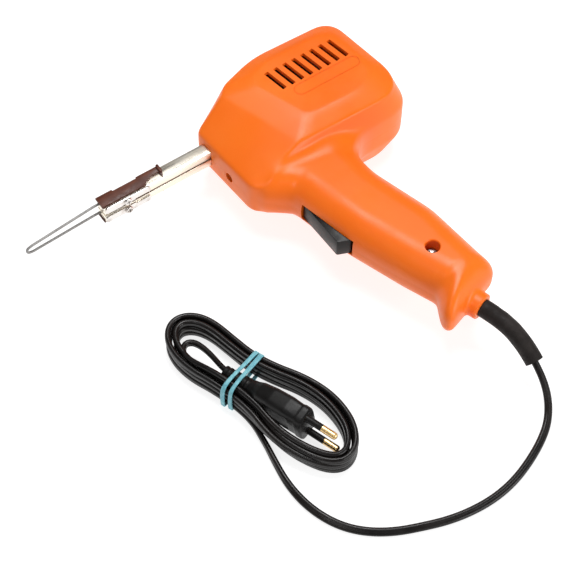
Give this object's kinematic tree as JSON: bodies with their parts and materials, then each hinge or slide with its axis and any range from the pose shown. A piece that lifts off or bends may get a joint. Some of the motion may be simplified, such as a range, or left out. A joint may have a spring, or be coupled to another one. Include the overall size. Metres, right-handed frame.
{
  "type": "soldering gun",
  "caption": "Pistol-shaped transformer soldering gun in an orange two-shell casing, with trigger switch, twin-bar barrel, hairpin wire tip and a mains lead tied in a hank with its plug.",
  "frame": {"origin": "centre of the footprint of the gun without its lead, on the surface that it lies on", "axes": "the gun lies on its right side: the barrel points to -X, the top of the gun to +Y and the handle to -Y, its left side is up, +Z"},
  "size_m": [0.2305, 0.2812, 0.058],
  "materials": {
    "casing_orange": "moulded orange ABS, glossy",
    "barrel_bar": "tinned copper bar, satin",
    "phenolic": "brown paper phenolic",
    "clamp_steel": "nickel plated steel",
    "screw_steel": "zinc plated steel",
    "tip_wire": "tinned copper wire",
    "core_steel": "stacked silicon steel, varnished",
    "coil_former": "nylon",
    "enamelled_copper": "enamelled copper wire",
    "tape_yellow": "polyester tape",
    "lamp_glass": "clear bulb",
    "trigger_black": "black moulded plastic",
    "switch_plastic": "black phenolic",
    "contact_brass": "brass",
    "spring_steel": "music wire",
    "lead_brown": "brown PVC",
    "lead_blue": "blue PVC",
    "cord_black": "black PVC, semi-gloss",
    "boot_black": "matte black PVC",
    "band_blue": "light blue rubber",
    "plug_black": "black PVC",
    "pin_brass": "brass"
  },
  "bodies": {
    "casing": {"housing_left": "casing_orange", "housing_right": "casing_orange", "casing_screws": "screw_steel", "arm_left": "barrel_bar", "arm_right": "barrel_bar", "secondary_turn": "enamelled_copper", "arm_spacer": "phenolic", "nose_insulator": "phenolic", "clamp_jaw_left": "clamp_steel", "clamp_jaw_right": "clamp_steel", "arm_insulator_left": "phenolic", "arm_insulator_right": "phenolic", "transformer_core": "core_steel", "bobbin": "coil_former", "primary_winding": "enamelled_copper", "winding_tape": "tape_yellow", "core_bolts": "screw_steel", "core_nuts": "screw_steel", "work_lamp": "lamp_glass", "lamp_holder": "contact_brass", "trigger_pin": "screw_steel", "switch_body": "switch_plastic", "switch_terminals": "contact_brass", "switch_bracket": "casing_orange", "trigger_spring": "spring_steel", "cord_clamp": "phenolic", "cord_clamp_screws": "screw_steel", "cord_inlet": "cord_black", "lead_live": "lead_brown", "lead_neutral": "lead_blue", "lead_switched": "lead_brown", "cord": "cord_black", "cord_boot": "boot_black", "cord_hank": "cord_black", "cord_band": "band_blue", "plug_body": "plug_black", "plug_pins": "pin_brass", "plug_pin_sleeves": "plug_black"},
    "trigger": {"trigger": "trigger_black"},
    "plunger": {"switch_plunger": "switch_plastic"},
    "tip": {"soldering_tip": "tip_wire"},
    "clamp_screw_left": {"clamp_screw_left": "screw_steel"},
    "clamp_screw_right": {"clamp_screw_right": "screw_steel"}
  },
  "joints": [
    {"name": "trigger_hinge", "type": "hinge", "parent": "casing", "child": "trigger", "pos_m": [0.03128, 0.00757, 0.029], "axis": [0, 0, 1], "range_deg": [0, 8], "stiffness_Nm_per_rad": 0.3, "springref_deg": -8.59, "deforming": ["trigger_spring"]},
    {"name": "plunger_slide", "type": "slide", "parent": "casing", "child": "plunger", "axis": [0.9573, 0.289, 0], "range_m": [0, 0.0034]},
    {"name": "tip_slide", "type": "slide", "parent": "casing", "child": "tip", "axis": [-1, 0, 0], "range_m": [0, 0.022]},
    {"name": "clamp_screw_left_turn", "type": "hinge", "parent": "casing", "child": "clamp_screw_left", "pos_m": [-0.0527, 0.0687, 0.0328], "axis": [0, 1, 0], "continuous": true},
    {"name": "clamp_screw_right_turn", "type": "hinge", "parent": "casing", "child": "clamp_screw_right", "pos_m": [-0.0527, 0.0687, 0.0252], "axis": [0, 1, 0], "continuous": true}
  ],
  "couplings": [
    {"joint": "plunger_slide", "follows": "trigger_hinge", "m_per_rad": 0.024}
  ]
}
